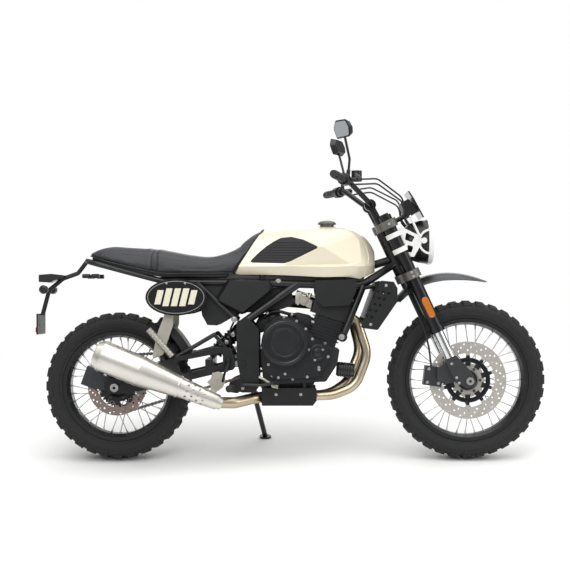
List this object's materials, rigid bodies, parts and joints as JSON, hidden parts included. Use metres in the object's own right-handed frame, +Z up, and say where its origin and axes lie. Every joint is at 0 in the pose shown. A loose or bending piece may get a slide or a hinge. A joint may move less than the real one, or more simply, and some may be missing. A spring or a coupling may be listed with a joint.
{
  "type": "street motorcycle",
  "caption": "Parallel-twin scrambler motorcycle with flat seat, angular tank, spoked wheels and low silencer, parked leaning on its side stand.",
  "frame": {"origin": "middle of the footprint box, on the ground", "axes": "+X towards the front wheel, +Y to the rider's left (the side it leans to), +Z up"},
  "size_m": [2.1306, 0.8374, 1.4042],
  "materials": {
    "frame_black": "satin black powder coat",
    "axle_steel": "machined",
    "spring_black": "black coil spring",
    "chain_steel": "oiled steel",
    "engine_black": "satin black casting",
    "fins_black": "black finned casting",
    "airbox_plastic": "moulded black",
    "radiator_core": "black core",
    "guard_black": "perforated plate",
    "header_steel": "heat tinted stainless",
    "silencer_steel": "satin stainless",
    "tank_paint": "champagne metallic",
    "pad_rubber": "ribbed",
    "cap_chrome": "polished",
    "seat_leather": "black seat cover",
    "cover_plastic": "satin black",
    "plate_black": "black oval with pale bars",
    "lamp_red": "red lens",
    "lamp_amber": "amber lens",
    "caliper_grey": "dark grey anodised",
    "peg_silver": "cast",
    "clamp_grey": "cast grey",
    "fork_black": "black anodised",
    "fork_chrome": "hard chrome with grey feet",
    "fender_black": "satin black",
    "grip_rubber": "ribbed",
    "control_black": "moulded",
    "mirror_black": "black shells",
    "mirror_glass": "silvered",
    "lamp_glass": "clear lens",
    "bracket_white": "silver white",
    "screen_dark": "smoked",
    "tyre_rubber": "block tread, matt",
    "wheel_black": "black rim, bright spokes",
    "disc_steel": "ground steel",
    "sprocket_steel": "dark steel",
    "stand_black": "satin black"
  },
  "bodies": {
    "chassis": {"main_frame": "frame_black", "subframe": "frame_black", "swingarm": "frame_black", "rear_axle": "axle_steel", "rear_shock": "spring_black", "chain": "chain_steel", "crankcase": "engine_black", "side_casings": "engine_black", "cylinder_block": "fins_black", "cylinder_head": "fins_black", "head_cover": "engine_black", "oil_filter": "engine_black", "air_box": "airbox_plastic", "radiator": "radiator_core", "radiator_guards": "guard_black", "sump_guard": "guard_black", "exhaust_headers": "header_steel", "silencer": "silencer_steel", "fuel_tank": "tank_paint", "knee_pads": "pad_rubber", "fuel_cap": "cap_chrome", "seat": "seat_leather", "side_covers": "cover_plastic", "number_plates": "plate_black", "tail_hanger": "frame_black", "tail_light": "lamp_red", "rear_indicators": "lamp_amber", "rear_hugger": "cover_plastic", "rear_caliper": "caliper_grey", "foot_controls": "frame_black", "pillion_pegs": "peg_silver", "inner_fender": "cover_plastic", "head_shrouds": "cover_plastic"},
    "steering": {"triple_clamps": "clamp_grey", "fork_outer_tubes": "fork_black", "fork_legs": "fork_chrome", "front_axle": "axle_steel", "front_fender": "fender_black", "front_caliper": "caliper_grey", "handlebar": "fork_black", "hand_grips": "grip_rubber", "hand_controls": "control_black", "mirrors": "mirror_black", "mirror_glasses": "mirror_glass", "headlight_shell": "fork_black", "headlight_lens": "lamp_glass", "headlight_bracket": "bracket_white", "instrument": "control_black", "flyscreen": "screen_dark", "bar_cables": "grip_rubber", "brake_hose": "grip_rubber", "fork_reflectors": "lamp_amber"},
    "front_wheel": {"front_tyre": "tyre_rubber", "front_wire_wheel": "wheel_black", "front_disc": "disc_steel"},
    "rear_wheel": {"rear_tyre": "tyre_rubber", "rear_wire_wheel": "wheel_black", "rear_disc": "disc_steel", "rear_sprocket": "sprocket_steel"},
    "side_stand": {"side_stand": "stand_black"}
  },
  "joints": [
    {"name": "steering", "type": "hinge", "parent": "chassis", "child": "steering", "pos_m": [0.42773, -0.04922, 0.84722], "axis": [-0.4226, 0.1574, 0.8925], "range_deg": [-34, 34]},
    {"name": "front_wheel_spin", "type": "hinge", "parent": "steering", "child": "front_wheel", "pos_m": [0.73474, -0.14095, 0.327], "axis": [0, 0.9848, -0.1736], "continuous": true},
    {"name": "rear_wheel_spin", "type": "hinge", "parent": "chassis", "child": "rear_wheel", "pos_m": [-0.71526, -0.1453, 0.3023], "axis": [0, 0.9848, -0.1736], "continuous": true},
    {"name": "side_stand_fold", "type": "hinge", "parent": "chassis", "child": "side_stand", "pos_m": [-0.15526, -0.00536, 0.22062], "axis": [0.0989, 0.9056, 0.4124], "range_deg": [0, 98]}
  ]
}
